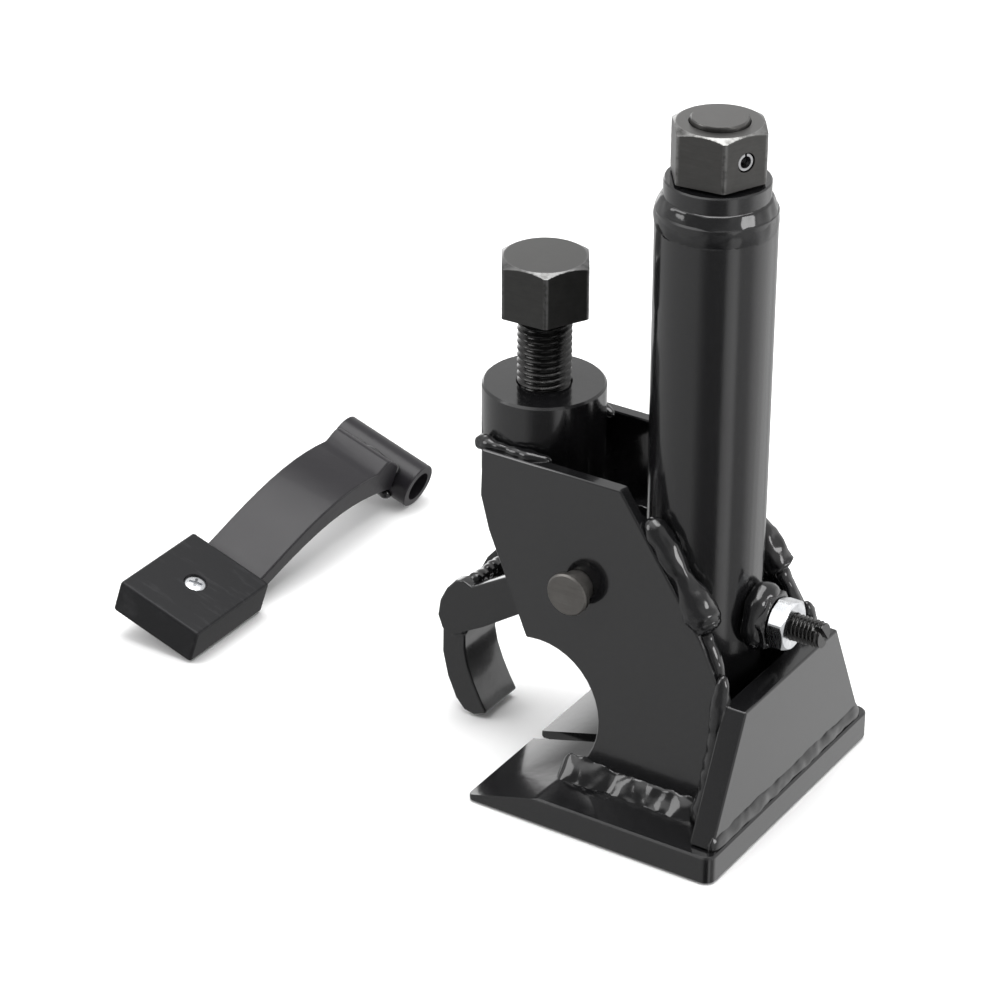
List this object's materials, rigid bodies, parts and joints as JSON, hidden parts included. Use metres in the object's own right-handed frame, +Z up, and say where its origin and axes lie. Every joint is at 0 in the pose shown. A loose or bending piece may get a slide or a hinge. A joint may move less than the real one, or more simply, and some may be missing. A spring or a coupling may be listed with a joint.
{
  "type": "bead breaker",
  "caption": "Bead breaker with a wedge foot, a screw-driven ram in a tube, a hooked clamp arm closed by a large hexagon bolt, and a spare padded arm.",
  "frame": {"origin": "centre of the ram's end face, level with the underside of the foot", "axes": "+Z up along the ram's axis, -X towards the hook and the thin edge of the foot, +Y across to the right side plate"},
  "size_m": [0.2841, 0.1791, 0.2554],
  "materials": {
    "black_paint": "glossy black paint over welded steel",
    "black_oxide": "black oxide, dull, rubbed lighter on edges",
    "bright_steel": "bright turned steel, oiled",
    "zinc": "bright zinc plate",
    "black_nylon": "black moulded nylon",
    "bronze": "plain bearing bronze"
  },
  "bodies": {
    "frame": {"foot_plate": "black_paint", "side_plate_left": "black_paint", "side_plate_right": "black_paint", "rear_gusset": "black_paint", "barrel_tube": "black_paint", "top_bush": "black_paint", "clamp_boss": "black_paint", "guide_weld_nut": "black_paint", "guide_screw": "black_oxide", "guide_lock_nut": "zinc"},
    "drive": {"drive_screw": "black_oxide", "drive_hex": "black_oxide", "roll_pin": "bright_steel", "thrust_washer": "bronze"},
    "ram": {"ram": "bright_steel"},
    "clamp_bolt": {"clamp_bolt": "black_oxide"},
    "clamp_arm": {"clamp_cheek_left": "black_paint", "clamp_cheek_right": "black_paint", "clamp_hook": "black_paint", "clamp_pivot_tube": "black_paint", "clamp_cross_bar": "black_paint"},
    "pivot_pin": {"pivot_pin": "black_oxide"},
    "spare_arm": {"spare_bar": "black_paint", "spare_pivot_tube": "black_paint", "spare_pad": "black_nylon", "spare_pad_screw": "zinc"}
  },
  "joints": [
    {"name": "drive_spin", "type": "hinge", "parent": "frame", "child": "drive", "pos_m": [0, 0, 0.2351], "axis": [0, 0, -1], "range_deg": [0, 10800]},
    {"name": "ram_slide", "type": "slide", "parent": "frame", "child": "ram", "axis": [0, 0, -1], "range_m": [0, 0.075]},
    {"name": "clamp_bolt_travel", "type": "slide", "parent": "frame", "child": "clamp_bolt", "axis": [0, 0, -1], "range_m": [0, 0.009]},
    {"name": "clamp_arm_swing", "type": "hinge", "parent": "frame", "child": "clamp_arm", "pos_m": [-0.0328, 0, 0.0834], "axis": [0, -1, 0], "range_deg": [0, 17.8]},
    {"name": "pivot_pin_pull", "type": "slide", "parent": "frame", "child": "pivot_pin", "axis": [0, -1, 0], "range_m": [0, 0.08]},
    {"name": "spare_arm_lift", "type": "slide", "parent": "frame", "child": "spare_arm", "axis": [0, 0, 1], "range_m": [0, 0.1]}
  ],
  "couplings": [
    {"joint": "drive_spin", "follows": "ram_slide", "rad_per_m": 2513.3},
    {"joint": "clamp_arm_swing", "follows": "clamp_bolt_travel", "rad_per_m": 34.5}
  ]
}
